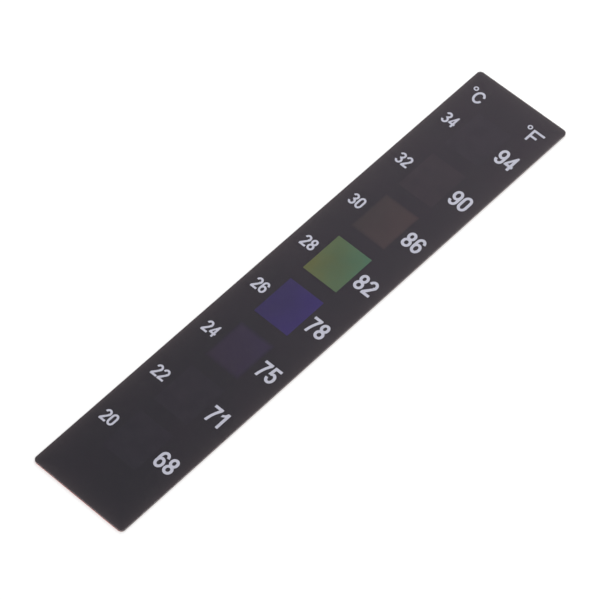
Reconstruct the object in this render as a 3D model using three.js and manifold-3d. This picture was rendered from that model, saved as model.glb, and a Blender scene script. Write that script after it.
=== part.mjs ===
// A stick-on liquid crystal thermometer for the glass of an aquarium.
//
// The strip is a stack of thin layers. A clear face film carries white figures and a black mask
// printed on its back. Eight windows in the mask hold patches of temperature sensitive crystals,
// a black coat closes them in, and a double-sided tape with a split release liner finishes it.
//
// Millimetres. X runs across the strip towards the Fahrenheit column, Y along it towards the
// headings, and Z up out of the face. The origin is in the middle of the underside.

import * as THREE from 'three';
import { mergeVertices } from 'three/addons/utils/BufferGeometryUtils.js';
import Module from 'manifold-3d';

const wasm = await Module();
wasm.setup();

// ---- The strip ----

const stripLength = 110;
const stripWidth = 20;
const cornerRadius = 0.8;
const cornerSteps = 8;

// ---- The layers, each by its own thickness, from the bottom up ----

const linerThickness = 0.08;
const adhesiveThickness = 0.09;
const carrierThickness = 0.02;
const backingThickness = 0.03;
const maskThickness = 0.04;
const whiteInkThickness = 0.02;
const filmThickness = 0.15;

// ---- The release liner ----

const slitWidth = 0.2;
const slitPlace = 0;

// ---- The scale: rows from the headed end down, Celsius beside Fahrenheit ----

const scaleRows = [
  { celsius: '34', fahrenheit: '94', crystal: 0x423e43 },
  { celsius: '32', fahrenheit: '90', crystal: 0x423e43 },
  { celsius: '30', fahrenheit: '86', crystal: 0x4b4345 },
  { celsius: '28', fahrenheit: '82', crystal: 0x57654f },
  { celsius: '26', fahrenheit: '78', crystal: 0x413a5d },
  { celsius: '24', fahrenheit: '75', crystal: 0x3e3945 },
  { celsius: '22', fahrenheit: '71', crystal: 0x3a373c },
  { celsius: '20', fahrenheit: '68', crystal: 0x3a373c },
];
const headMargin = 11.75;
const tailMargin = 14.25;
const windowGap = 3;

// ---- The figures ----

const celsiusHeight = 2.5;
const celsiusMargin = 1.95;
const celsiusToWindow = 1.25;
const fahrenheitHeight = 3.4;
const fahrenheitMargin = 1.9;
const fahrenheitToWindow = 0.8;
const figureAspect = 0.53;
const figureGap = 0.06;
const figureStem = 0.155;
const figureBar = 0.155;
const strokeStep = 11.25;
const sweepSteps = 6;

// ---- The headings: a degree ring and a letter over each column ----

const headingHeight = 2.75;
const headingPlace = 4.75;
const headingStroke = 0.16;
const letterCAspect = 0.77;
const letterCOpening = 22;
const letterCInset = 4.9;
const letterCRingGap = 0.12;
const letterFAspect = 0.9;
const letterFInset = 2.12;
const letterFRingGap = 0.38;
const ringRadius = 0.48;
const ringStroke = 0.24;
const ringRise = 1.25;

// ---- Places worked out from the sizes above ----

const outerAdhesiveBottom = linerThickness;
const carrierBottom = outerAdhesiveBottom + adhesiveThickness;
const innerAdhesiveBottom = carrierBottom + carrierThickness;
const backingBottom = innerAdhesiveBottom + adhesiveThickness;
const maskBottom = backingBottom + backingThickness;
const filmBottom = maskBottom + maskThickness;
const whiteInkBottom = filmBottom - whiteInkThickness;

const leftEdge = -stripWidth / 2;
const rightEdge = stripWidth / 2;
const topEdge = stripLength / 2;
const bottomEdge = -stripLength / 2;
const rowPitch = (stripLength - headMargin - tailMargin) / (scaleRows.length - 1);
const windowHeight = rowPitch - windowGap;
const pairWidth = 2 * figureAspect + figureGap;
const celsiusLeft = leftEdge + celsiusMargin;
const fahrenheitLeft = rightEdge - fahrenheitMargin - pairWidth * fahrenheitHeight;
const windowLeft = celsiusLeft + pairWidth * celsiusHeight + celsiusToWindow;
const windowRight = fahrenheitLeft - fahrenheitToWindow;
const headingY = topEdge - headingPlace;

// The middle of a row of the scale, counted from the headed end.
function rowY(row) {
  return topEdge - headMargin - row * rowPitch;
}

// ---- Materials ----

function finish(color, roughness, extra = {}) {
  return new THREE.MeshStandardMaterial({ color, roughness, metalness: 0, ...extra });
}

const clearFilm = finish(0xf2f4f6, 0.35, { transparent: true, opacity: 0.2 });
const blackInk = finish(0x3e3b40, 0.6);
const whiteInk = finish(0xc8c8d6, 0.6);
const clearAdhesive = finish(0xd9d3c4, 0.25, { transparent: true, opacity: 0.6 });
const clearCarrier = finish(0xe6e8ea, 0.2, { transparent: true, opacity: 0.5 });
const redLiner = finish(0xb02a26, 0.4);

// ---- Plates: flat outlines given a thickness ----

function polygon(points) {
  return new THREE.Shape(points.map(([x, y]) => new THREE.Vector2(x, y)));
}

function rectangle(left, right, bottom, top) {
  return polygon([[left, bottom], [right, bottom], [right, top], [left, top]]);
}

// A rectangle whose bottom pair and top pair of corners each have a radius, or none.
function panel(left, right, bottom, top, bottomRadius, topRadius) {
  const corners = [
    [right, bottom, bottomRadius, -Math.PI / 2],
    [right, top, topRadius, 0],
    [left, top, topRadius, Math.PI / 2],
    [left, bottom, bottomRadius, Math.PI],
  ];
  const outline = [];
  for (const [x, y, radius, start] of corners) {
    const centreX = x - Math.sign(x - (left + right) / 2) * radius;
    const centreY = y - Math.sign(y - (bottom + top) / 2) * radius;
    const steps = radius > 0 ? cornerSteps : 0;
    for (let step = 0; step <= steps; step += 1) {
      const angle = start + (Math.PI / 2) * (step / Math.max(steps, 1));
      outline.push([centreX + radius * Math.cos(angle), centreY + radius * Math.sin(angle)]);
    }
  }
  return polygon(outline);
}

function extruded(shape, thickness) {
  return new THREE.ExtrudeGeometry(shape, { depth: thickness, bevelEnabled: false });
}

function placed(geometry, name, material, x, y, z) {
  const mesh = new THREE.Mesh(geometry, material);
  mesh.name = name;
  mesh.position.set(x, y, z);
  return mesh;
}

// ---- Joining and cutting ----

function solidOf(geometry) {
  const bare = geometry.clone();
  bare.deleteAttribute('normal');
  bare.deleteAttribute('uv');
  const merged = mergeVertices(bare, 1e-5);
  return new wasm.Manifold(new wasm.Mesh({
    numProp: 3,
    vertProperties: new Float32Array(merged.attributes.position.array),
    triVerts: new Uint32Array(merged.index.array),
  }));
}

function geometryOf(solid) {
  const mesh = solid.getMesh();
  const geometry = new THREE.BufferGeometry();
  geometry.setAttribute('position', new THREE.BufferAttribute(mesh.vertProperties, 3));
  geometry.setIndex(new THREE.BufferAttribute(mesh.triVerts, 1));
  geometry.computeVertexNormals();
  return geometry;
}

// ---- Strokes of a character, drawn in a box one unit high ----

// Points along an ellipse between two angles in degrees.
function arc(x, y, radiusX, radiusY, start, end) {
  const steps = Math.round(Math.abs(end - start) / strokeStep);
  const points = [];
  for (let step = 0; step <= steps; step += 1) {
    const angle = THREE.MathUtils.degToRad(start + (end - start) * (step / steps));
    points.push([x + radiusX * Math.cos(angle), y + radiusY * Math.sin(angle)]);
  }
  return points;
}

// Points along a curve that leaves one place, is drawn towards a second and ends at a third.
function sweep(from, towards, to) {
  const [first, pull, last] = [from, towards, to].map(([x, y]) => new THREE.Vector2(x, y));
  const points = new THREE.QuadraticBezierCurve(first, pull, last).getPoints(sweepSteps);
  return points.map((point) => [point.x, point.y]);
}

// A band along an ellipse. Its upright stretches are as wide as a stem and its level stretches as
// wide as a bar. It may run on past its end as an upright stem of the length given by reach.
function bow(x, y, radiusX, radiusY, start, end, reach = 0) {
  const outer = arc(x, y, radiusX, radiusY, start, end);
  const inner = arc(x, y, radiusX - figureStem, radiusY - figureBar, start, end);
  if (reach !== 0) {
    outer.push([outer.at(-1)[0], y + reach]);
    inner.push([inner.at(-1)[0], y + reach]);
  }
  return polygon([...outer, ...inner.reverse()]);
}

// A closed outline with round ends of the given height and upright sides. Where the two ends meet
// with no sides between them, the points they share are left out once.
function oval(left, right, bottom, top, endHeight) {
  const x = (left + right) / 2;
  const radius = (right - left) / 2;
  const upper = arc(x, top - endHeight, radius, endHeight, 0, 180);
  const lower = arc(x, bottom + endHeight, radius, endHeight, 180, 360);
  if (top - bottom > 2 * endHeight) {
    return [...upper, ...lower];
  }
  return [...upper.slice(0, -1), ...lower.slice(0, -1)];
}

// A closed band between two ovals, as wide as a stem at its sides and a bar at its ends.
function loop(left, right, bottom, top, endHeight, stem = figureStem, level = figureBar) {
  const band = polygon(oval(left, right, bottom, top, endHeight));
  const inside = oval(left + stem, right - stem, bottom + level, top - level, endHeight - level);
  band.holes.push(polygon(inside));
  return band;
}

const wide = figureAspect;
const mid = wide / 2;

// The strokes of each figure, which stands in a box one unit high and figureAspect wide.
const figureStrokes = {
  0: () => [loop(0, wide, 0, 1, 0.31)],
  1: () => [
    rectangle(0.44 * wide, 0.44 * wide + figureStem, 0, 1),
    polygon([
      [0.08 * wide, 0.62], [0.5 * wide, 0.75], [0.5 * wide, 1], [0.44 * wide, 1], [0.3 * wide, 0.84],
      [0.08 * wide, 0.77],
    ]),
  ],
  2: () => [
    bow(mid, 0.7, mid, 0.3, -14, 172),
    polygon([
      [0, 0.05], [0.36 * wide, 0.05], [0.42 * wide, figureBar], [0.995 * wide, 0.62],
      [0.98 * wide, 0.68], [0.64 * wide, 0.67], [0.6 * wide, 0.57], [0, figureBar],
    ]),
    rectangle(0, wide, 0, figureBar),
  ],
  3: () => [
    bow(mid, 0.735, mid * 0.97, 0.265, -90, 168),
    bow(mid, 0.285, mid, 0.285, -168, 90),
    rectangle(0.36 * wide, 0.55 * wide, 0.47, 0.57),
  ],
  4: () => [
    rectangle(0.56 * wide, 0.56 * wide + figureStem, 0, 0.8),
    rectangle(0, wide, 0.21, 0.21 + figureBar),
    polygon([
      [0, 0.25], [0.2 * wide, 0.25], [0.56 * wide, 0.64], [0.56 * wide + figureStem, 0.64],
      [0.56 * wide + figureStem, 1], [0.66 * wide, 1], [0, 0.34],
    ]),
  ],
  5: () => [
    rectangle(0.12 * wide, 0.95 * wide, 1 - figureBar, 1),
    polygon([[0.02 * wide, 0.46], [0.3 * wide, 0.48], [0.42 * wide, 0.98], [0.12 * wide, 0.98]]),
    bow(mid, 0.33, mid, 0.33, -174, 140),
  ],
  6: () => [
    loop(0, wide, 0, 0.64, 0.31),
    bow(mid, 0.69, mid, 0.31, 6, 180, -0.37),
  ],
  7: () => [
    rectangle(0.04 * wide, wide, 1 - figureBar, 1),
    polygon([
      ...sweep([0.66 * wide, 0.86], [0.27 * wide, 0.42], [0.21 * wide, 0]),
      ...sweep([0.49 * wide, 0], [0.56 * wide, 0.48], [wide, 0.86]),
      [wide, 0.9],
      [0.66 * wide, 0.9],
    ]),
  ],
  8: () => [
    loop(0.04 * wide, 0.96 * wide, 0.45, 1, 0.26),
    loop(0, wide, 0, 0.56, 0.27),
  ],
  9: () => [
    loop(0, wide, 0.36, 1, 0.31),
    bow(mid, 0.31, mid, 0.31, 186, 360, 0.37),
  ],
};

const letterStrokes = {
  C: () => {
    const middle = letterCAspect / 2;
    const inside = [middle - headingStroke, 0.5 - headingStroke];
    const [start, end] = [letterCOpening, 360 - letterCOpening];
    const outer = arc(middle, 0.5, middle, 0.5, start, end);
    return [polygon([...outer, ...arc(middle, 0.5, ...inside, end, start)])];
  },
  F: () => [
    rectangle(0, headingStroke, 0, 1),
    rectangle(0, letterFAspect, 1 - headingStroke, 1),
    rectangle(0, 0.68 * letterFAspect, 0.37, 0.37 + headingStroke),
  ],
};

// The degree ring is drawn at its real size, about its own centre.
function degreeRing() {
  return loop(-ringRadius, ringRadius, -ringRadius, ringRadius, ringRadius, ringStroke, ringStroke);
}

// ---- White characters ----

// The strokes joined into one body, scaled to the character's height and given a thickness.
function characterSolid(strokes, height, thickness) {
  const parts = strokes.map((stroke) => {
    const geometry = extruded(stroke, thickness);
    geometry.scale(height, height, 1);
    return solidOf(geometry);
  });
  return parts.reduce((whole, part) => whole.add(part));
}

// Every white character with its strokes, its height and the lower left corner of its box.
function listCharacters() {
  const characters = [];
  scaleRows.forEach((row, index) => {
    const columns = [
      { scale: 'celsius', text: row.celsius, height: celsiusHeight, left: celsiusLeft },
      { scale: 'fahrenheit', text: row.fahrenheit, height: fahrenheitHeight, left: fahrenheitLeft },
    ];
    for (const { scale, text, height, left } of columns) {
      ['tens', 'units'].forEach((digit, place) => {
        characters.push({
          name: `${scale}_${text}_${digit}`,
          strokes: figureStrokes[text[place]](),
          height,
          x: left + place * (figureAspect + figureGap) * height,
          y: rowY(index) - height / 2,
        });
      });
    }
  });

  const letters = [
    { letter: 'C', aspect: letterCAspect, right: leftEdge + letterCInset, gap: letterCRingGap },
    { letter: 'F', aspect: letterFAspect, right: rightEdge - letterFInset, gap: letterFRingGap },
  ];
  for (const { letter, aspect, right, gap } of letters) {
    const left = right - aspect * headingHeight;
    characters.push({
      name: `heading_${letter}_letter`,
      strokes: letterStrokes[letter](),
      height: headingHeight,
      x: left,
      y: headingY - headingHeight / 2,
    });
    characters.push({
      name: `heading_${letter}_ring`,
      strokes: [degreeRing()],
      height: 1,
      x: left - gap - ringRadius,
      y: headingY + ringRise,
    });
  }
  return characters;
}

function whiteCharacters(characters) {
  const group = new THREE.Group();
  for (const { name, strokes, height, x, y } of characters) {
    const geometry = geometryOf(characterSolid(strokes, height, whiteInkThickness));
    group.add(placed(geometry, name, whiteInk, x, y, whiteInkBottom));
  }
  return group;
}

// ---- Black mask: windows go right through it, characters only as deep as the white ink ----

function blackMask(characters) {
  const outline = stripOutline();
  scaleRows.forEach((row, index) => {
    outline.holes.push(windowOutline(index));
  });
  let mask = solidOf(extruded(outline, maskThickness));
  for (const { strokes, height, x, y } of characters) {
    const cutter = geometryOf(characterSolid(strokes, height, maskThickness));
    cutter.translate(x, y, maskThickness - whiteInkThickness);
    mask = mask.subtract(solidOf(cutter));
  }
  return placed(geometryOf(mask), 'black_mask', blackInk, 0, 0, maskBottom);
}

// ---- Plain layers ----

function stripOutline() {
  return panel(leftEdge, rightEdge, bottomEdge, topEdge, cornerRadius, cornerRadius);
}

function windowOutline(row) {
  const middle = rowY(row);
  return rectangle(windowLeft, windowRight, middle - windowHeight / 2, middle + windowHeight / 2);
}

function fullLayer(name, material, bottom, thickness) {
  return placed(extruded(stripOutline(), thickness), name, material, 0, 0, bottom);
}

function crystalPatches() {
  const group = new THREE.Group();
  scaleRows.forEach((row, index) => {
    const geometry = extruded(windowOutline(index), maskThickness);
    group.add(placed(geometry, `crystal_${row.celsius}`, finish(row.crystal, 0.45), 0, 0, maskBottom));
  });
  return group;
}

// Each half of the liner ends at the slit, where a fingernail lifts it.
function releaseLiner() {
  const group = new THREE.Group();
  const headHalf = panel(leftEdge, rightEdge, slitPlace + slitWidth / 2, topEdge, 0, cornerRadius);
  const tailHalf = panel(leftEdge, rightEdge, bottomEdge, slitPlace - slitWidth / 2, cornerRadius, 0);
  group.add(placed(extruded(headHalf, linerThickness), 'liner_head_half', redLiner, 0, 0, 0));
  group.add(placed(extruded(tailHalf, linerThickness), 'liner_tail_half', redLiner, 0, 0, 0));
  return group;
}

// ---- The thermometer ----

const characters = listCharacters();

const thermometer = new THREE.Group();
thermometer.add(releaseLiner());
thermometer.add(fullLayer('outer_adhesive', clearAdhesive, outerAdhesiveBottom, adhesiveThickness));
thermometer.add(fullLayer('tape_carrier', clearCarrier, carrierBottom, carrierThickness));
thermometer.add(fullLayer('inner_adhesive', clearAdhesive, innerAdhesiveBottom, adhesiveThickness));
thermometer.add(fullLayer('black_backing', blackInk, backingBottom, backingThickness));
thermometer.add(blackMask(characters));
thermometer.add(crystalPatches());
thermometer.add(whiteCharacters(characters));
thermometer.add(fullLayer('face_film', clearFilm, filmBottom, filmThickness));

export default thermometer;
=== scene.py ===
"""Finish and stage for a stick-on liquid crystal thermometer strip.

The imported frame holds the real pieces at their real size. This script gives each of them its
finish, models the face film and the two halves of the release liner again with softened edges,
and sets the strip on a pale table under studio light.
"""

import math
from typing import NamedTuple

import bmesh
import bpy
from bpy.props import FloatProperty, FloatVectorProperty, IntProperty, PointerProperty
from mathutils import Matrix, Vector


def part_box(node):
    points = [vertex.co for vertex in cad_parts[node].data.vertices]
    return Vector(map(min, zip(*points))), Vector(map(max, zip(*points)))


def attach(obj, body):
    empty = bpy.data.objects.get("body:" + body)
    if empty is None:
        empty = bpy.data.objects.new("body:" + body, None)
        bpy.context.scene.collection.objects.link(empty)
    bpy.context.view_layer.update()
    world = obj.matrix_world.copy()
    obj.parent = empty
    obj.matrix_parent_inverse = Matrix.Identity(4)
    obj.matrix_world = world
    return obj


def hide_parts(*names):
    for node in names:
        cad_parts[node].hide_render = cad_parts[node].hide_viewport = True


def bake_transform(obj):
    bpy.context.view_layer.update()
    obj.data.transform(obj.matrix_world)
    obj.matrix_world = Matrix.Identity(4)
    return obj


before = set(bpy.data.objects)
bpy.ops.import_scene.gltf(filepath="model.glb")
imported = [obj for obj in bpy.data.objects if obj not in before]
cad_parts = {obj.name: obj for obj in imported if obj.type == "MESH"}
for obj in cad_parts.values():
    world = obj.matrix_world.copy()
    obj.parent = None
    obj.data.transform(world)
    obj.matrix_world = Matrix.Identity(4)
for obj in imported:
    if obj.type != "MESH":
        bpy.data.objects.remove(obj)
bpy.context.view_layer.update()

bl_info = {
    "name": "Aquarium thermometer strip",
    "version": (1, 0, 0),
    "blender": (4, 5, 0),
    "location": "View3D > Sidebar > Thermometer",
    "description": "Finish, film and liner for a stick-on liquid crystal thermometer",
    "category": "Object",
}

# ---- Names and units shared by the pieces ----

MILLIMETRE = 0.001
MICROMETRE = 0.001 * MILLIMETRE
STRIP_BODY = "strip"
FILM_NODE = "face_film"
MASK_NODE = "black_mask"
CARRIER_NODE = "tape_carrier"
BLACK_NODES = (MASK_NODE, "black_backing")
ADHESIVE_NODES = ("inner_adhesive", "outer_adhesive")
WHITE_PREFIXES = ("celsius_", "fahrenheit_", "heading_")

# Each liner half with its body and the end of the strip, along Y, that it peels back over.
LINER_HALVES = {
    "liner_head_half": ("head_liner", 1),
    "liner_tail_half": ("tail_liner", -1),
}

# ---- How the crystals look ----

# The state of each patch of crystals, from the headed end of the strip down.
CRYSTAL_STATES = {
    "crystal_34": "asleep",
    "crystal_32": "stirring",
    "crystal_30": "brown",
    "crystal_28": "green",
    "crystal_26": "violet",
    "crystal_24": "dim",
    "crystal_22": "asleep",
    "crystal_20": "asleep",
}

# The least and the most haze over the black in a patch that shows no colour yet.
HAZE_SHARE = {"asleep": (0.1, 0.2), "stirring": (0.18, 0.32)}

# How much an awake patch's colour changes across it and along it, as shares of the whole change.
SLANT = {"brown": (0.34, 0.08), "green": (0.34, 0.26), "violet": (0.34, 0.06), "dim": (0.2, 0.3)}

# Where on its change the middle of an awake patch lies, from the least to the most drift.
SLANT_MIDDLE = (0.4, 0.6)

# How far in from its rim, and how strongly, an awake patch fades to black.
RIM_FADE = {"brown": (0.14, 0.5), "dim": (0.2, 0.7)}

# The other awake patches brighten instead, from this share of the way out and between these levels.
RIM_GLOW_START = 0.3
RIM_GLOW = (0.97, 1.09)

# ---- How the other finishes vary ----

SATIN_DRIFT = 0.03  # roughness of the satin face, either way
MOTTLE_DRIFT = 0.16  # place of the black on its change from end to end, either way
BLACK_SPECKLE = 0.05  # share by which the mesh lightens and darkens the black
CAPSULE_SPECKLE = 0.06  # the same for the capsules of crystals
WHITE_LOSS = (0.3, 0.9)  # share of the screen's grain that shows in the white

FILM_TINT = (0.985, 0.985, 0.99, 1.0)  # what the clear film lets through
FILM_MILK = 0.42  # share of milk on the film's cut edge
FILM_MILK_GONE = (0.55, 0.95)  # how far a face looks up where the milk starts to go, and is gone
CHATTER_MILK = (0.75, 1.0)  # share of that milk in the marks of the die, and between them
CHATTER_ROUGHNESS = (0.25, 0.45)  # the same for the roughness of the cut edge

CUT_TO_FLAT = (0.3, 0.7)  # how far a face of tape or liner looks up on a cut edge, and on a flat side
# Painted reflection: the band at each end of the tape is where the liner's red is painted on.
TAPE_END_REFLECTION_BAND = (0.5, 0.05)  # millimetres from the end where its colour starts, and is full
TACK_DRIFT = 0.15  # roughness that the pull marks add
TAPE_GLOSS = 0.5
STREAK_SHARE = 0.5  # share of the deep red in the strongest streaks
LINER_ROUGHNESS = (0.3, 0.42)
LINER_GLOSS = 0.4

TABLE_SHADE = (0.985, 1.0)
TABLE_ROUGHNESS = 0.9
WHITE_LIGHT = (1, 1, 1, 1)


class Pattern(NamedTuple):
    """A cloudy noise: how fine and how rich it is, how it is drawn out per axis, the range of it
    that counts, and its depth in micrometres where it is felt as well as seen."""

    per_millimetre: float
    detail: float = 2.0
    roughness: float = 0.5
    stretch: tuple = (1, 1, 1)
    low: float = 0.3
    high: float = 0.7
    depth: float = 0.0


FILM_TOOTH = Pattern(1.6, detail=3.0, roughness=0.6)
FILM_WAVE = Pattern(0.05, detail=1.0, depth=12.0)
BLACK_MOTTLE = Pattern(0.11, detail=3.0, low=0.35, high=0.65)
MESH_GRAIN = Pattern(5.0, detail=1.0, depth=0.2)
WHITE_GRAIN = Pattern(4.0, roughness=0.6, low=0.35, depth=0.4)
WHITE_CLOUD = Pattern(0.35)
CAPSULES = Pattern(7.0, roughness=0.7, depth=0.3)
PATCH_HAZE = Pattern(0.4)
PATCH_DRIFT = Pattern(0.3)
DIE_CHATTER = Pattern(6.0, stretch=(1, 1, 0.2))
CUT_GRIT = Pattern(5.0, depth=1.0)
TACK_CLOUD = Pattern(0.25, detail=4.0, roughness=0.6, low=0.45, high=0.75, depth=6.0)
TACK_PULL = Pattern(2.2, stretch=(1, 0.15, 1), depth=3.0)
LINER_STREAKS = Pattern(1.4, detail=3.0, stretch=(1, 0.03, 1), low=0.35)
LINER_CLOUD = Pattern(0.12, low=0.35, high=0.65, depth=15.0)
LINER_TOOTH = Pattern(4.0, detail=1.0, depth=1.0)
TABLE_TONE = Pattern(0.01)

# ---- Modelling tolerances ----

CUT_TOLERANCE = 0.0001  # millimetres within which a cut meets a corner that is there already
UPRIGHT_FACE = 0.5  # a face that looks up less than this stands upright


# ---- What a user can change ----

def paint(code):
    """Linear colour with full alpha from a six digit colour code."""
    channels = [int(code[place:place + 2], 16) / 255 for place in (0, 2, 4)]
    linear = [c / 12.92 if c <= 0.04045 else ((c + 0.055) / 1.055) ** 2.4 for c in channels]
    return (*linear, 1.0)


def colour(name, description, code):
    """A colour that a user can change."""
    return FloatVectorProperty(
        name=name, description=description, default=paint(code), subtype="COLOR", size=4, min=0, max=1)


def length(name, description, millimetres):
    """A length that a user can change, given in millimetres."""
    return FloatProperty(
        name=name, description=description, default=millimetres * MILLIMETRE, unit="LENGTH", precision=6)


def position(name, description, millimetres):
    """A place that a user can change, given in millimetres."""
    default = [part * MILLIMETRE for part in millimetres]
    return FloatVectorProperty(
        name=name, description=description, default=default, subtype="TRANSLATION", precision=6)


def angle(name, description, degrees):
    """An angle that a user can change, given in degrees."""
    return FloatProperty(name=name, description=description, default=math.radians(degrees), subtype="ANGLE")


def power(name, description, watts):
    """The power of a lamp that a user can change."""
    return FloatProperty(name=name, description=description, default=watts, unit="POWER")


def level(name, description, default):
    """A level from 0 to 1 that a user can change."""
    return FloatProperty(name=name, description=description, default=default, min=0, max=1, subtype="FACTOR")


class FilmSettings(bpy.types.PropertyGroup):
    """The clear face film."""

    print_gap: length("Print gap", "Clearance between the print and the film over it", 0.005)
    lip: length("Lip", "Rounding that the cutting die leaves along the upper outline", 0.03)
    lip_steps: IntProperty(name="Lip steps", description="Facets across the lip", default=3)
    corner: length("Corner", "Radius of the four corners", 0.8)
    corner_steps: IntProperty(name="Corner steps", description="Facets round each corner", default=10)
    gloss: level("Gloss", "How strongly the satin face mirrors", 0.2)
    roughness: level("Roughness", "Roughness of the satin face", 0.38)
    cut_edge: colour("Cut edge", "Film where the die has cut it", "b9b4b8")


class LinerSettings(bpy.types.PropertyGroup):
    """The two halves of the red release liner."""

    side_inset: length("Side inset", "How far the liner stays inside the long edges", 0.1)
    lip: length("Lip", "Rounding along the lower outline", 0.015)
    lip_steps: IntProperty(name="Lip steps", description="Facets across the lip", default=2)
    bend: length("Bend", "Length of film that curls where a half folds back", 0.24)
    bend_cuts: IntProperty(name="Bend cuts", description="Cuts across the film where it curls", default=8)
    red: colour("Red", "Release film", "b02a24")
    red_edge: colour("Red edge", "Cut edge of the release film, which pipes light", "e2453a")
    deep_red: colour("Deep red", "Release film where it lies close to the adhesive", "93201d")


class InkSettings(bpy.types.PropertyGroup):
    """The printed inks."""

    # Painted sheen: the headed black is lighter than the plain black, a painted sheen. The lean from slate to
    # violet is the ink's own tone.
    black_plain: colour("Plain black", "Black ink at the plain end, where it leans to slate", "1b1820")
    black_headed_with_sheen: colour("Headed black", "Black ink at the headed end, where it leans to violet", "241a25")
    # Painted glow: the black is painted paler along the cut edge, a painted rim of light. The reach is how
    # far in that glow has fallen to half.
    black_edge_glow: colour("Thin black", "Black ink drawn thin along the cut edge", "4a4244")
    edge_glow_reach: length("Thin reach", "How far in from the cut edge the ink is half as thin", 0.35)
    white: colour("White", "White ink", "c9c9d5")
    white_low: colour("Low white", "White ink where the screen left less of it", "b9b9c6")


class CrystalSettings(bpy.types.PropertyGroup):
    """The colours of the crystals, from the near left corner of a patch to its far right one."""

    asleep: colour("Asleep", "Milky haze of crystals outside their temperature", "3c3640")
    stirring: colour("Stirring", "Milky haze of crystals just under their temperature", "40353b")
    brown_low: colour("Brown, near", "Crystals that start to turn", "31292c")
    brown_high: colour("Brown, far", "Crystals that start to turn", "3f3033")
    green_low: colour("Green, near", "Crystals in full colour", "575b36")
    green_high: colour("Green, far", "Crystals in full colour", "43624c")
    violet_low: colour("Violet, near", "Crystals past green", "2b2149")
    violet_high: colour("Violet, far", "Crystals past green", "2f215b")
    dim_low: colour("Dim, near", "Crystals that turn back to clear", "2a2030")
    dim_high: colour("Dim, far", "Crystals that turn back to clear", "2e243c")


class TapeSettings(bpy.types.PropertyGroup):
    """The double-sided tape."""

    tack_face: colour("Tack face", "Clear adhesive over the black backing", "2e2c2b")
    tack_face_high: colour("Milky tack", "Adhesive face where it is thicker", "3a3836")
    tack_edge: colour("Tack edge", "Cut edge of the adhesive", "75655f")
    # Painted reflection: the cut ends are painted with the red that the liner throws on them.
    tack_end_red_reflection: colour("Tack end", "Cut edge at the ends, which picks up the red of the liner", "8e4a40")
    tack_roughness: level("Tack roughness", "Roughness of the adhesive where it is wettest", 0.12)
    carrier_face: colour("Carrier face", "Flat side of the carrier film", "3b3a3b")
    carrier_edge: colour("Carrier edge", "Cut edge of the carrier film", "9a8f8c")
    carrier_roughness: level("Carrier roughness", "Roughness of the carrier film where it is smoothest", 0.08)


class StageSettings(bpy.types.PropertyGroup):
    """The table, the light and the camera."""

    azimuth: angle("Azimuth", "Camera's place round the strip", 41.41)
    elevation: angle("Elevation", "Camera's height over the table", 55.24)
    roll: angle("Roll", "Camera's turn about its own axis", 1.52)
    distance: length("Distance", "Camera to the middle of its view", 571.6)
    aim_x: length("Aim across", "Middle of the view across the strip", 0.24)
    aim_y: length("Aim along", "Middle of the view along the strip", -2.57)
    lens: FloatProperty(name="Lens", description="Focal length", default=206.05, unit="CAMERA")
    table: colour("Table", "Pale table top", "e8e8e8")
    table_glow: level("Table glow", "White added where the table is seen", 0.34)
    table_span: length("Table span", "Side of the square table top", 4000)
    table_gap: length("Table gap", "Clearance under the strip", 0.01)
    room_level: level("Room level", "Light from all round", 0.64)
    back_place: position("Back place", "Where the lamp beyond the headed end hangs", (-150, 300, 280))
    back_span: length("Back span", "Side of the square lamp beyond the headed end", 300)
    back_power: power("Back power", "Power of the lamp beyond the headed end", 0.52)
    side_place: position("Side place", "Where the lamp by the camera hangs", (550, -250, 800))
    side_span: length("Side span", "Side of the square lamp by the camera", 800)
    side_power: power("Side power", "Power of the lamp by the camera", 2.0)


SETTINGS = {
    "thermometer_film": FilmSettings,
    "thermometer_liner": LinerSettings,
    "thermometer_ink": InkSettings,
    "thermometer_crystal": CrystalSettings,
    "thermometer_tape": TapeSettings,
    "thermometer_stage": StageSettings,
}


# ---- Building a finish from nodes ----

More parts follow.
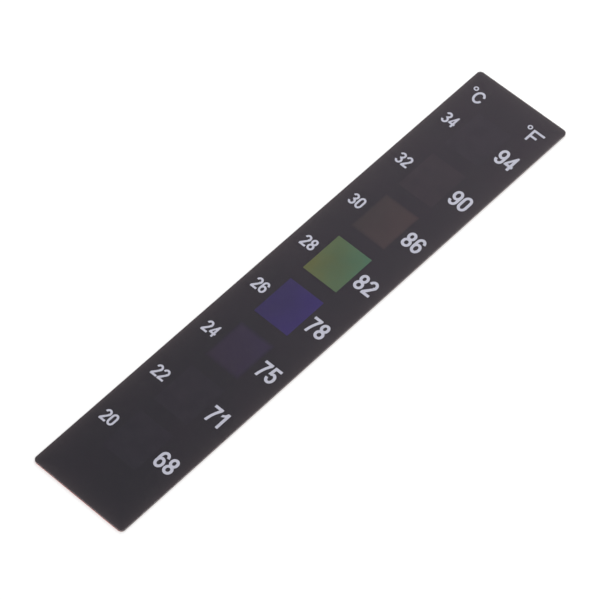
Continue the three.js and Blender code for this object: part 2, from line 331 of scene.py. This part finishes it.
class Nodes:
    """Short ways to add nodes to a node tree."""

    # The colour sockets of a Mix node, which stand after those for other kinds of value.
    MIX_FIRST = 6
    MIX_SECOND = 7
    MIX_RESULT = 2

    def __init__(self, tree):
        self.tree = tree

    def feed(self, socket, value):
        """Links an output to a socket, or sets the socket's own value."""
        if isinstance(value, bpy.types.NodeSocket):
            self.tree.links.new(value, socket)
        elif value is not None:
            socket.default_value = value

    def feed_all(self, node, **values):
        """Feeds a node's inputs, named with an underscore for each space."""
        for name, value in values.items():
            self.feed(node.inputs[name.replace("_", " ")], value)

    def add(self, kind, **values):
        """A new node with its inputs fed."""
        made = self.tree.nodes.new(kind)
        self.feed_all(made, **values)
        return made

    def spread(self, value, low, high, to_low=0.0, to_high=1.0, smooth=False):
        """Maps one range of a value to another and holds it inside."""
        made = self.add(
            "ShaderNodeMapRange", Value=value, From_Min=low, From_Max=high, To_Min=to_low, To_Max=to_high)
        made.interpolation_type = "SMOOTHSTEP" if smooth else "LINEAR"
        return made.outputs["Result"]

    def maths(self, operation, first, second=None):
        """One sum on one or two numbers."""
        made = self.add("ShaderNodeMath")
        made.operation = operation
        self.feed(made.inputs[0], first)
        self.feed(made.inputs[1], second)
        return made.outputs[0]

    def mixed(self, share, first, second, blend="MIX"):
        """Two colours mixed by a share."""
        made = self.add("ShaderNodeMix")
        made.data_type = "RGBA"
        made.blend_type = blend
        self.feed(made.inputs[0], share)
        self.feed(made.inputs[self.MIX_FIRST], first)
        self.feed(made.inputs[self.MIX_SECOND], second)
        return made.outputs[self.MIX_RESULT]

    def shaded(self, tint, factor):
        """A colour made darker or lighter by a factor."""
        return self.mixed(1.0, tint, factor, blend="MULTIPLY")

    def axes(self, place):
        """The three parts of a place or direction."""
        made = self.add("ShaderNodeSeparateXYZ", Vector=place)
        return made.outputs["X"], made.outputs["Y"], made.outputs["Z"]

    def seen(self):
        """1 where something meets the eye, directly, in gloss or through clear film, and 0 where it
        only sends light to other things."""
        path = self.add("ShaderNodeLightPath")
        direct = self.maths("MAXIMUM", path.outputs["Is Camera Ray"], path.outputs["Is Glossy Ray"])
        return self.maths("MAXIMUM", direct, path.outputs["Is Transmission Ray"])


class Finish(Nodes):
    """A new material with a Principled surface, and short ways to build its patterns."""

    def __init__(self, name):
        self.material = bpy.data.materials.new(name)
        self.material.use_nodes = True
        super().__init__(self.material.node_tree)
        self.surface = self.tree.nodes["Principled BSDF"]
        self.output = self.tree.nodes["Material Output"]
        self.place = self.millimetres()
        self.noises = {}

    def scaled(self, scale, centre=(0, 0, 0)):
        """The piece's own coordinates from a centre, with a scale for each axis."""
        origin = [-part * factor for part, factor in zip(centre, scale)]
        place = self.add("ShaderNodeTexCoord").outputs["Object"]
        return self.add("ShaderNodeMapping", Vector=place, Scale=scale, Location=origin).outputs["Vector"]

    def millimetres(self, stretch=(1, 1, 1)):
        """The piece's own coordinates in millimetres, drawn out or pressed per axis."""
        return self.scaled([part / MILLIMETRE for part in stretch])

    def noise(self, pattern):
        """A pattern's noise, made once for each material."""
        if pattern not in self.noises:
            made = self.add(
                "ShaderNodeTexNoise",
                Vector=self.place if pattern.stretch == (1, 1, 1) else self.millimetres(pattern.stretch),
                Scale=pattern.per_millimetre,
                Detail=pattern.detail,
                Roughness=pattern.roughness,
            )
            self.noises[pattern] = made.outputs[0]
        return self.noises[pattern]

    def varied(self, pattern, least=0.0, most=1.0):
        """A number that a pattern takes from its least to its most."""
        return self.spread(self.noise(pattern), pattern.low, pattern.high, least, most)

    def speckled(self, tint, pattern, share):
        """A colour that a pattern makes darker and lighter by up to a share of itself."""
        return self.shaded(tint, self.varied(pattern, 1 - share, 1 + share))

    def relief(self, pattern, below=None):
        """A surface normal disturbed to a pattern's depth, over another such normal."""
        distance = pattern.depth * MICROMETRE
        made = self.add(
            "ShaderNodeBump", Strength=1.0, Distance=distance, Height=self.noise(pattern), Normal=below)
        return made.outputs["Normal"]

    def facing_up(self):
        """1 on faces that look straight up or down and 0 on upright ones."""
        geometry = self.add("ShaderNodeNewGeometry")
        return self.maths("ABSOLUTE", self.axes(geometry.outputs["Normal"])[2])

    def set_surface(self, **values):
        """Feeds the surface's sockets, and gives back the material."""
        self.feed_all(self.surface, **values)
        return self.material


def satin_sheen(finish, film, grain):
    """The satin face of the film, which whatever is printed on its back shows as its own sheen."""
    finish.set_surface(
        Roughness=finish.varied(FILM_TOOTH, film.roughness - SATIN_DRIFT, film.roughness + SATIN_DRIFT),
        Specular_IOR_Level=film.gloss,
        Normal=finish.relief(grain, finish.relief(FILM_WAVE)),
    )


def edge_distance(finish, half_width, half_length):
    """How far a point lies inside a plate's outline, in millimetres."""
    x, y, _ = finish.axes(finish.place)
    inside_x = finish.maths("SUBTRACT", half_width, finish.maths("ABSOLUTE", x))
    inside_y = finish.maths("SUBTRACT", half_length, finish.maths("ABSOLUTE", y))
    return finish.maths("MINIMUM", inside_x, inside_y)


def black_with_painted_sheen(finish, ink, half_length):
    """Colour of the black ink, mottled, leaning from slate at the plain end to violet at the headed end, and
    painted lighter towards the headed end as a painted sheen.
    """
    # Painted sheen: the black turns lighter from the plain end to the headed end.
    along = finish.spread(finish.axes(finish.place)[1], -half_length, half_length)
    mottle = finish.varied(BLACK_MOTTLE, -MOTTLE_DRIFT, MOTTLE_DRIFT)
    return finish.mixed(finish.maths("ADD", along, mottle), ink.black_plain, ink.black_headed_with_sheen)


def black_ink_finish(ink, film, half_width, half_length):
    """Screen-printed black: slow mottling, a fine mesh grain, and a painted pale glow that grows towards the
    cut edge.
    """
    finish = Finish("black_ink")
    full = black_with_painted_sheen(finish, ink, half_length)
    # Painted glow: near the cut edge the black is mixed towards a paler colour, a painted rim of light.
    distance = finish.maths("MAXIMUM", edge_distance(finish, half_width, half_length), 0.0)
    reach = ink.edge_glow_reach / MILLIMETRE
    edge_glow_share = finish.maths("DIVIDE", reach, finish.maths("ADD", distance, reach))
    black_with_edge_glow = finish.mixed(edge_glow_share, full, ink.black_edge_glow)
    satin_sheen(finish, film, MESH_GRAIN)
    return finish.set_surface(Base_Color=finish.speckled(black_with_edge_glow, MESH_GRAIN, BLACK_SPECKLE))


def white_ink_finish(ink, film):
    """Screen-printed white: even, with a faint grain where the screen left less ink."""
    finish = Finish("white_ink")
    loss = finish.maths("MULTIPLY", finish.varied(WHITE_GRAIN), finish.varied(WHITE_CLOUD, *WHITE_LOSS))
    satin_sheen(finish, film, WHITE_GRAIN)
    return finish.set_surface(Base_Color=finish.mixed(loss, ink.white, ink.white_low))


def hazy_patch(finish, state, crystals, black):
    """Colour of a patch that shows no colour yet: a milky haze over the black."""
    haze = finish.varied(PATCH_HAZE, *HAZE_SHARE[state])
    return finish.mixed(haze, black, getattr(crystals, state))


def awake_patch(finish, state, crystals, black, low_corner, high_corner):
    """Colour of a patch that slants from one colour to another between its corners. It fades to
    black at the rim, or is brightest there."""
    centre = (low_corner + high_corner) / 2
    half = (high_corner - low_corner) / 2
    x, y, _ = finish.axes(finish.scaled((1 / half.x, 1 / half.y, 1), centre))
    across, along = SLANT[state]
    slant = finish.maths("ADD", finish.maths("MULTIPLY", x, across), finish.maths("MULTIPLY", y, along))
    slant = finish.maths("ADD", slant, finish.varied(PATCH_DRIFT, *SLANT_MIDDLE))
    shown = finish.mixed(slant, getattr(crystals, state + "_low"), getattr(crystals, state + "_high"))
    rim = finish.maths("MAXIMUM", finish.maths("ABSOLUTE", x), finish.maths("ABSOLUTE", y))
    if state in RIM_FADE:
        reach, strength = RIM_FADE[state]
        return finish.mixed(finish.spread(rim, 1 - reach, 1.0, 0.0, strength, smooth=True), shown, black)
    return finish.shaded(shown, finish.spread(rim, RIM_GLOW_START, 1.0, *RIM_GLOW))


def crystal_finish(node, state, crystals, ink, film, half_length):
    """Capsules of crystals over the black, in the colour of their state."""
    finish = Finish(node)
    black = black_with_painted_sheen(finish, ink, half_length)
    if state in HAZE_SHARE:
        shown = hazy_patch(finish, state, crystals, black)
    else:
        shown = awake_patch(finish, state, crystals, black, *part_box(node))
    satin_sheen(finish, film, CAPSULES)
    return finish.set_surface(Base_Color=finish.speckled(shown, CAPSULES, CAPSULE_SPECKLE))


def film_finish(film):
    """Clear polyester. Its flat sides are one with the print and only let it show. Its cut edge and
    rounded lip are pale and a little milky."""
    finish = Finish("clear_film")
    clear = finish.add("ShaderNodeBsdfTransparent", Color=FILM_TINT)
    both = finish.add("ShaderNodeMixShader")
    milk = finish.spread(finish.facing_up(), *FILM_MILK_GONE, FILM_MILK, 0.0)
    finish.feed(both.inputs[0], finish.maths("MULTIPLY", milk, finish.varied(DIE_CHATTER, *CHATTER_MILK)))
    finish.feed(both.inputs[1], clear.outputs[0])
    finish.feed(both.inputs[2], finish.surface.outputs[0])
    finish.feed(finish.output.inputs["Surface"], both.outputs[0])
    return finish.set_surface(
        Base_Color=film.cut_edge,
        Roughness=finish.varied(DIE_CHATTER, *CHATTER_ROUGHNESS),
        Normal=finish.relief(CUT_GRIT),
    )


def tape_finish(name, face, face_high, edge, end, half_length, roughness):
    """A clear layer: near black over the backing, pale and milky where it is cut, with a painted red
    reflection of the liner along the two short ends."""
    finish = Finish(name)
    start, full = TAPE_END_REFLECTION_BAND
    from_middle = finish.maths("ABSOLUTE", finish.axes(finish.place)[1])
    # Painted reflection: the cut ends turn to a red that stands in for the liner's reflected light.
    cut = finish.mixed(finish.spread(from_middle, half_length - start, half_length - full), edge, end)
    flat = finish.mixed(finish.varied(TACK_CLOUD), face, face_high)
    return finish.set_surface(
        Base_Color=finish.mixed(finish.spread(finish.facing_up(), *CUT_TO_FLAT), cut, flat),
        Roughness=finish.varied(TACK_PULL, roughness, roughness + TACK_DRIFT),
        Specular_IOR_Level=TAPE_GLOSS,
        Normal=finish.relief(TACK_PULL, finish.relief(TACK_CLOUD)),
    )


def liner_finish(liner):
    """Red release film: satin, faintly streaked along its length, deeper where it clings."""
    finish = Finish("red_liner")
    streaks = finish.varied(LINER_STREAKS, 0.0, STREAK_SHARE)
    depth = finish.maths("MULTIPLY", streaks, finish.varied(LINER_CLOUD))
    flat = finish.mixed(depth, liner.red, liner.deep_red)
    return finish.set_surface(
        Base_Color=finish.mixed(finish.spread(finish.facing_up(), *CUT_TO_FLAT), liner.red_edge, flat),
        Roughness=finish.varied(LINER_TOOTH, *LINER_ROUGHNESS),
        Specular_IOR_Level=LINER_GLOSS,
        Normal=finish.relief(LINER_TOOTH, finish.relief(LINER_CLOUD)),
    )


def table_finish(stage):
    """A pale table that takes the strip's shadow and meets the eye as white."""
    finish = Finish("table")
    return finish.set_surface(
        Base_Color=finish.shaded(stage.table, finish.varied(TABLE_TONE, *TABLE_SHADE)),
        Roughness=TABLE_ROUGHNESS,
        Specular_IOR_Level=0.0,
        Emission_Color=WHITE_LIGHT,
        Emission_Strength=finish.maths("MULTIPLY", finish.seen(), stage.table_glow),
    )


def dress(obj, material):
    """Gives an object's every face one material."""
    if not obj.material_slots:
        obj.data.materials.append(None)
    for slot in obj.material_slots:
        slot.material = material


# ---- Modelling plates in millimetres ----

def plate(low, high, corners, radius, steps):
    """A flat box between two corners, in millimetres, with some upright edges turned to arcs.

    corners says, from the middle of an upright edge, whether that edge is rounded."""
    shape = bmesh.new()
    size = high - low
    middle = (low + high) / 2
    bmesh.ops.create_cube(shape, size=1, matrix=Matrix.Translation(middle) @ Matrix.Diagonal((*size, 1)))
    rounded = []
    for edge in shape.edges:
        first, second = (vertex.co for vertex in edge.verts)
        upright = abs(first.z - second.z) > size.z / 2
        if upright and corners((first + second) / 2):
            rounded.append(edge)
    bmesh.ops.bevel(
        shape, geom=rounded, offset=radius, offset_type="OFFSET", affect="EDGES",
        segments=steps, profile=0.5, material=-1)
    return shape


def soften_outline(shape, height, lip, steps):
    """Rounds the outline that lies at one height."""
    tolerance = lip / 10
    rim = [
        edge for edge in shape.edges
        if all(abs(vertex.co.z - height) < tolerance for vertex in edge.verts)
        and any(abs(face.normal.z) < UPRIGHT_FACE for face in edge.link_faces)
    ]
    made = bmesh.ops.bevel(
        shape, geom=rim, offset=lip, offset_type="OFFSET", affect="EDGES",
        segments=steps, profile=0.5, material=-1)
    for face in made["faces"]:
        face.smooth = True


def cut_across(shape, y):
    """Cuts every face of a shape that crosses one place along the strip."""
    bmesh.ops.bisect_plane(
        shape, geom=[*shape.verts, *shape.edges, *shape.faces], dist=CUT_TOLERANCE,
        plane_co=(0, y, 0), plane_no=(0, 1, 0))


def object_of(name, shape):
    """An object of the shape, in the scene."""
    mesh = bpy.data.meshes.new(name)
    shape.to_mesh(mesh)
    shape.free()
    made = bpy.data.objects.new(name, mesh)
    bpy.context.scene.collection.objects.link(made)
    return made


def finished_piece(name, shape):
    """An object of the shape, brought from millimetres to metres."""
    bmesh.ops.scale(shape, vec=(MILLIMETRE,) * 3, verts=shape.verts)
    bmesh.ops.recalc_face_normals(shape, faces=shape.faces)
    return object_of(name, shape)


def box_in_millimetres(node):
    """The lowest and highest corner of a node of the frame, in millimetres."""
    low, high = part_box(node)
    return low / MILLIMETRE, high / MILLIMETRE


# ---- One operator for each piece or group of like pieces ----

class THERMOMETER_OT_black_layers(bpy.types.Operator):
    """Give the printed mask and the backing coat their black ink"""

    bl_idname = "thermometer.black_layers"
    bl_label = "Black layers"

    def execute(self, context):
        scene = context.scene
        _, high = box_in_millimetres(MASK_NODE)
        material = black_ink_finish(scene.thermometer_ink, scene.thermometer_film, high.x, high.y)
        for node in BLACK_NODES:
            dress(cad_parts[node], material)
        return {"FINISHED"}


class THERMOMETER_OT_white_print(bpy.types.Operator):
    """Give the figures and headings their white ink"""

    bl_idname = "thermometer.white_print"
    bl_label = "White print"

    def execute(self, context):
        scene = context.scene
        material = white_ink_finish(scene.thermometer_ink, scene.thermometer_film)
        for name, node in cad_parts.items():
            if name.startswith(WHITE_PREFIXES):
                dress(node, material)
        return {"FINISHED"}


class THERMOMETER_OT_crystals(bpy.types.Operator):
    """Give each patch of crystals the colour of its temperature"""

    bl_idname = "thermometer.crystals"
    bl_label = "Crystal patches"

    def execute(self, context):
        scene = context.scene
        crystals = scene.thermometer_crystal
        _, high = box_in_millimetres(MASK_NODE)
        for node, state in CRYSTAL_STATES.items():
            material = crystal_finish(
                node, state, crystals, scene.thermometer_ink, scene.thermometer_film, high.y)
            dress(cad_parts[node], material)
        return {"FINISHED"}


class THERMOMETER_OT_face_film(bpy.types.Operator):
    """Model the clear satin film that covers the print"""

    bl_idname = "thermometer.face_film"
    bl_label = "Face film"

    def execute(self, context):
        settings = context.scene.thermometer_film
        low, high = box_in_millimetres(FILM_NODE)
        low.z += settings.print_gap / MILLIMETRE
        radius = settings.corner / MILLIMETRE
        shape = plate(low, high, lambda middle: True, radius, settings.corner_steps)
        soften_outline(shape, high.z, settings.lip / MILLIMETRE, settings.lip_steps)
        film = finished_piece("satin_face_film", shape)
        dress(film, film_finish(settings))
        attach(film, STRIP_BODY)
        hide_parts(FILM_NODE)
        return {"FINISHED"}


class THERMOMETER_OT_tape(bpy.types.Operator):
    """Finish the two adhesive layers and the carrier film between them"""

    bl_idname = "thermometer.tape"
    bl_label = "Double-sided tape"

    def execute(self, context):
        tape = context.scene.thermometer_tape
        _, high = box_in_millimetres(CARRIER_NODE)
        tack = tape_finish(
            "tack", tape.tack_face, tape.tack_face_high, tape.tack_edge, tape.tack_end_red_reflection,
            high.y, tape.tack_roughness)
        for node in ADHESIVE_NODES:
            dress(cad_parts[node], tack)
        carrier = tape_finish(
            "carrier", tape.carrier_face, tape.carrier_face, tape.carrier_edge, tape.tack_end_red_reflection,
            high.y, tape.carrier_roughness)
        dress(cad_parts[CARRIER_NODE], carrier)
        return {"FINISHED"}


class THERMOMETER_OT_release_liner(bpy.types.Operator):
    """Model both halves of the red liner, cut across near where they fold back"""

    bl_idname = "thermometer.release_liner"
    bl_label = "Release liner"

    def execute(self, context):
        settings = context.scene.thermometer_liner
        corner = context.scene.thermometer_film.corner / MILLIMETRE
        corner_steps = context.scene.thermometer_film.corner_steps
        material = liner_finish(settings)
        for node, (body, end) in LINER_HALVES.items():
            low, high = box_in_millimetres(node)
            low.x += settings.side_inset / MILLIMETRE
            high.x -= settings.side_inset / MILLIMETRE
            middle_y = (low.y + high.y) / 2
            shape = plate(low, high, lambda middle: (middle.y - middle_y) * end > 0, corner, corner_steps)
            soften_outline(shape, low.z, settings.lip / MILLIMETRE, settings.lip_steps)
            hinge_y = high.y if end > 0 else low.y
            bend = settings.bend / MILLIMETRE
            for cut in range(1, settings.bend_cuts + 1):
                cut_across(shape, hinge_y - end * bend * cut / settings.bend_cuts)
            half = finished_piece("red_" + node, shape)
            dress(half, material)
            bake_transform(half)
            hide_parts(node)
        return {"FINISHED"}


class THERMOMETER_OT_stage(bpy.types.Operator):
    """Set the pale table, the studio light and the camera"""

    bl_idname = "thermometer.stage"
    bl_label = "Stage"

    def execute(self, context):
        settings = context.scene.thermometer_stage
        lay_table(settings)
        light_room(context.scene, settings)
        hang_lamp("back_lamp", settings.back_place, settings.back_span, settings.back_power)
        hang_lamp("side_lamp", settings.side_place, settings.side_span, settings.side_power)
        place_camera(context.scene, settings)
        return {"FINISHED"}


def lay_table(settings):
    """A square table top just under the strip."""
    shape = bmesh.new()
    bmesh.ops.create_grid(shape, x_segments=1, y_segments=1, size=settings.table_span / 2)
    bmesh.ops.translate(shape, vec=(0, 0, -settings.table_gap), verts=shape.verts)
    table = object_of("table", shape)
    dress(table, table_finish(settings))


def light_room(scene, settings):
    """Even light from all round, which meets the eye and mirrors as white."""
    world = bpy.data.worlds.new("room")
    world.use_nodes = True
    scene.world = world
    room = Nodes(world.node_tree)
    strength = room.spread(room.seen(), 0.0, 1.0, settings.room_level, 1.0)
    room.feed_all(room.tree.nodes["Background"], Color=WHITE_LIGHT, Strength=strength)


def hang_lamp(name, place, side, watts):
    """A square soft lamp that hangs at a place and looks at the middle of the strip."""
    lamp = bpy.data.lights.new(name, "AREA")
    lamp.size = side
    lamp.energy = watts
    holder = bpy.data.objects.new(name, lamp)
    holder.location = place
    holder.rotation_mode = "QUATERNION"
    holder.rotation_quaternion = (-Vector(place)).to_track_quat("-Z", "Y")
    bpy.context.scene.collection.objects.link(holder)


def place_camera(scene, settings):
    """The camera looks down on the strip from its near right."""
    lens = bpy.data.cameras.new("camera")
    lens.lens = settings.lens
    camera = bpy.data.objects.new("camera", lens)
    azimuth, elevation = settings.azimuth, settings.elevation
    back = Vector((
        math.sin(azimuth) * math.cos(elevation),
        -math.cos(azimuth) * math.cos(elevation),
        math.sin(elevation),
    ))
    face_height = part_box(FILM_NODE)[1].z
    aim = Vector((settings.aim_x, settings.aim_y, face_height))
    turn = (-back).to_track_quat("-Z", "Y").to_matrix().to_4x4() @ Matrix.Rotation(settings.roll, 4, "Z")
    camera.matrix_world = Matrix.Translation(aim + back * settings.distance) @ turn
    scene.collection.objects.link(camera)
    scene.camera = camera
    scene.view_settings.view_transform = "Standard"


# ---- The panel and the add-on ----

PIECE_OPERATORS = (
    THERMOMETER_OT_black_layers,
    THERMOMETER_OT_white_print,
    THERMOMETER_OT_crystals,
    THERMOMETER_OT_face_film,
    THERMOMETER_OT_tape,
    THERMOMETER_OT_release_liner,
    THERMOMETER_OT_stage,
)


class THERMOMETER_PT_pieces(bpy.types.Panel):
    """Lists the pieces of the thermometer"""

    bl_idname = "THERMOMETER_PT_pieces"
    bl_label = "Thermometer"
    bl_space_type = "VIEW_3D"
    bl_region_type = "UI"
    bl_category = "Thermometer"

    def draw(self, context):
        for operator in PIECE_OPERATORS:
            self.layout.operator(operator.bl_idname)


def register():
    """Registers the settings, the operators and the panel."""
    for name, group in SETTINGS.items():
        bpy.utils.register_class(group)
        setattr(bpy.types.Scene, name, PointerProperty(type=group))
    for operator in PIECE_OPERATORS:
        bpy.utils.register_class(operator)
    bpy.utils.register_class(THERMOMETER_PT_pieces)


def unregister():
    """Takes away what register added."""
    bpy.utils.unregister_class(THERMOMETER_PT_pieces)
    for operator in reversed(PIECE_OPERATORS):
        bpy.utils.unregister_class(operator)
    for name, group in SETTINGS.items():
        delattr(bpy.types.Scene, name)
        bpy.utils.unregister_class(group)


def main():
    """Builds every piece and the stage."""
    register()
    bpy.ops.thermometer.black_layers()
    bpy.ops.thermometer.white_print()
    bpy.ops.thermometer.crystals()
    bpy.ops.thermometer.face_film()
    bpy.ops.thermometer.tape()
    bpy.ops.thermometer.release_liner()
    bpy.ops.thermometer.stage()


if __name__ == "__main__":
    main()
